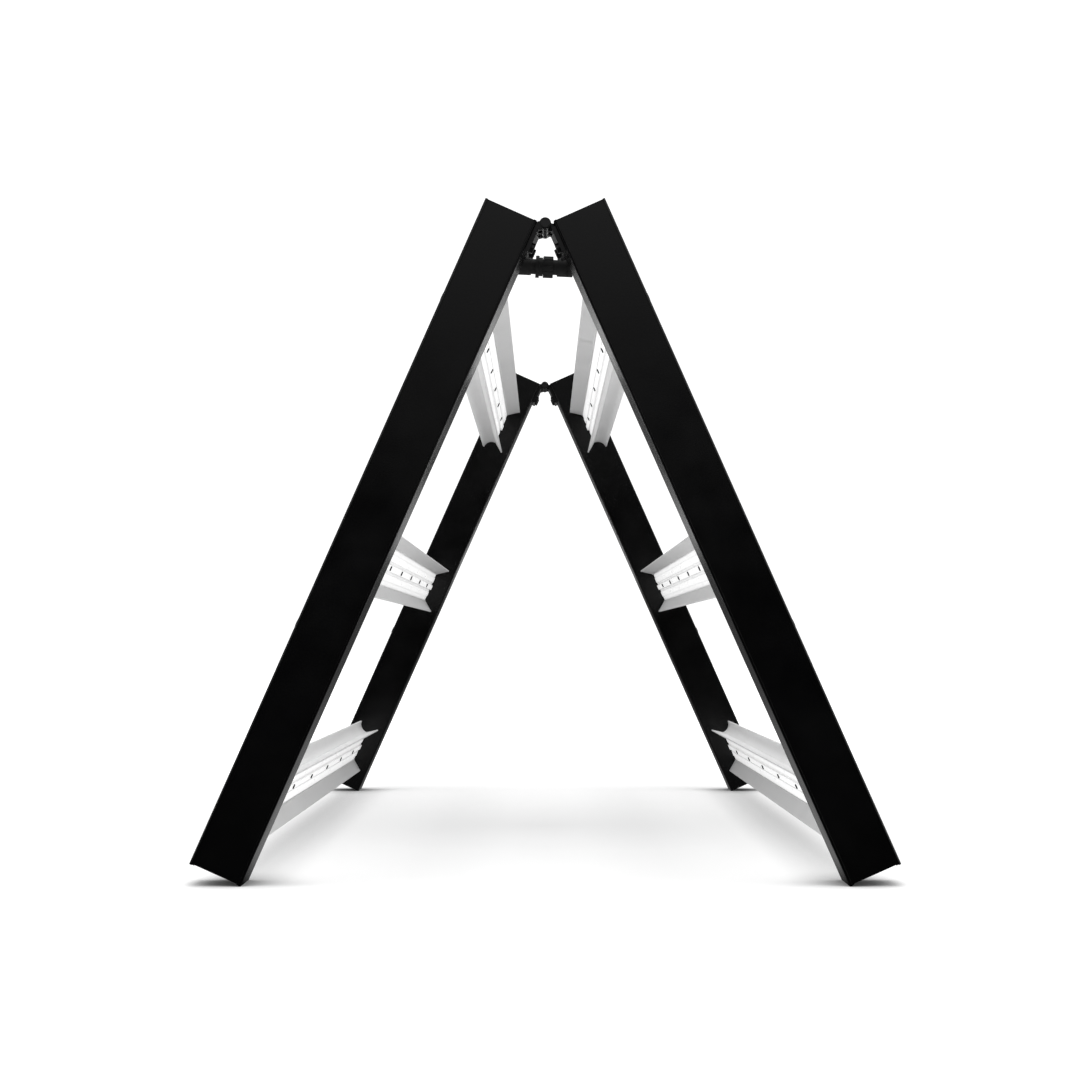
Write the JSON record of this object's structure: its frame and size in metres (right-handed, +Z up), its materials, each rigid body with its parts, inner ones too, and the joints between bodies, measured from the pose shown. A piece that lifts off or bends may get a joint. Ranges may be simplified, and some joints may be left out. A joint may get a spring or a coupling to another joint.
{
  "type": "led grow light",
  "caption": "Folding LED grow light: two hinged leaves of white reflector bars between black end rails, standing as an A-frame, opening flat to hang over a crop.",
  "frame": {"origin": "on the floor, midway between the feet and between the outer sides of the two pairs of end rails, directly below the hinge axis", "axes": "+Z up; +Y along the hinge axis, away from the viewer of the picture; +X across the stand, to the viewer's right"},
  "size_m": [0.5326, 1.07, 0.515],
  "materials": {
    "rail_black": "satin black powder coat over extruded aluminium",
    "cover_black": "satin black powder coat",
    "cap_plastic": "fine moulded texture",
    "bar_white": "satin white powder coat over extruded aluminium",
    "board_white": "white solder mask on an aluminium board",
    "lens_frosted": "frosted polycarbonate",
    "led_phosphor": "phosphor over a white package",
    "screw_black": "black oxide",
    "screw_steel": "zinc plated",
    "hinge_dark": "satin black",
    "driver_grey": "anodised case",
    "wire_red": "insulated flex",
    "rubber_black": "matte",
    "connector_black": "moulded nylon",
    "contact_brass": "turned",
    "cable_black": "matte jacket",
    "knob_black": "soft-touch"
  },
  "bodies": {
    "spine": {"hinge_pins": "screw_black", "link_plug": "connector_black", "link_socket": "connector_black", "link_seal": "rubber_black", "link_contacts": "contact_brass", "left_link_cable": "cable_black", "right_link_cable": "cable_black"},
    "left_leaf": {"left_near_rail": "rail_black", "left_far_rail": "rail_black", "left_near_cover": "cover_black", "left_far_cover": "cover_black", "left_head_caps": "cap_plastic", "left_foot_caps": "cap_plastic", "left_upper_bar": "bar_white", "left_middle_bar": "bar_white", "left_lower_bar": "bar_white", "left_led_boards": "board_white", "left_led_packages": "led_phosphor", "left_lens_covers": "lens_frosted", "left_lens_screws": "screw_black", "left_bar_screws": "screw_steel", "left_drivers": "driver_grey", "left_driver_screws": "screw_black", "left_wiring": "wire_red", "left_wire_grommets": "rubber_black", "left_hinge_leaves": "hinge_dark", "left_hinge_bolts": "screw_black", "left_hanger_nuts": "screw_steel", "left_link_grommet": "rubber_black", "control_tray": "cap_plastic", "mains_inlet": "connector_black", "dimmer_body": "driver_grey", "control_jack": "connector_black", "jack_cap": "rubber_black"},
    "right_leaf": {"right_near_rail": "rail_black", "right_far_rail": "rail_black", "right_near_cover": "cover_black", "right_far_cover": "cover_black", "right_head_caps": "cap_plastic", "right_foot_caps": "cap_plastic", "right_upper_bar": "bar_white", "right_middle_bar": "bar_white", "right_lower_bar": "bar_white", "right_led_boards": "board_white", "right_led_packages": "led_phosphor", "right_lens_covers": "lens_frosted", "right_lens_screws": "screw_black", "right_bar_screws": "screw_steel", "right_drivers": "driver_grey", "right_driver_screws": "screw_black", "right_wiring": "wire_red", "right_wire_grommets": "rubber_black", "right_hinge_leaves": "hinge_dark", "right_hinge_bolts": "screw_black", "right_hanger_nuts": "screw_steel", "right_link_grommet": "rubber_black"},
    "coupling": {"link_nut": "connector_black"},
    "dimmer": {"dimmer_shaft": "screw_steel", "dimmer_knob": "knob_black"}
  },
  "joints": [
    {"name": "left_fold", "type": "hinge", "parent": "spine", "child": "left_leaf", "pos_m": [0, 0, 0.49673], "axis": [0, 1, 0], "range_deg": [-24, 66], "deforming": ["left_link_cable"]},
    {"name": "right_fold", "type": "hinge", "parent": "spine", "child": "right_leaf", "pos_m": [0, 0, 0.49673], "axis": [0, 1, 0], "range_deg": [-66, 24], "deforming": ["right_link_cable"]},
    {"name": "coupling_spin", "type": "hinge", "parent": "spine", "child": "coupling", "pos_m": [0, -0.46977, 0.47433], "axis": [0.999, 0, -0.0454], "continuous": true},
    {"name": "dimmer_turn", "type": "hinge", "parent": "left_leaf", "child": "dimmer", "pos_m": [-0.20503, 0.53, 0.10309], "axis": [0, -1, 0], "range_deg": [0, 300]}
  ],
  "couplings": [
    {"joint": "right_fold", "follows": "left_fold", "ratio": -1}
  ]
}
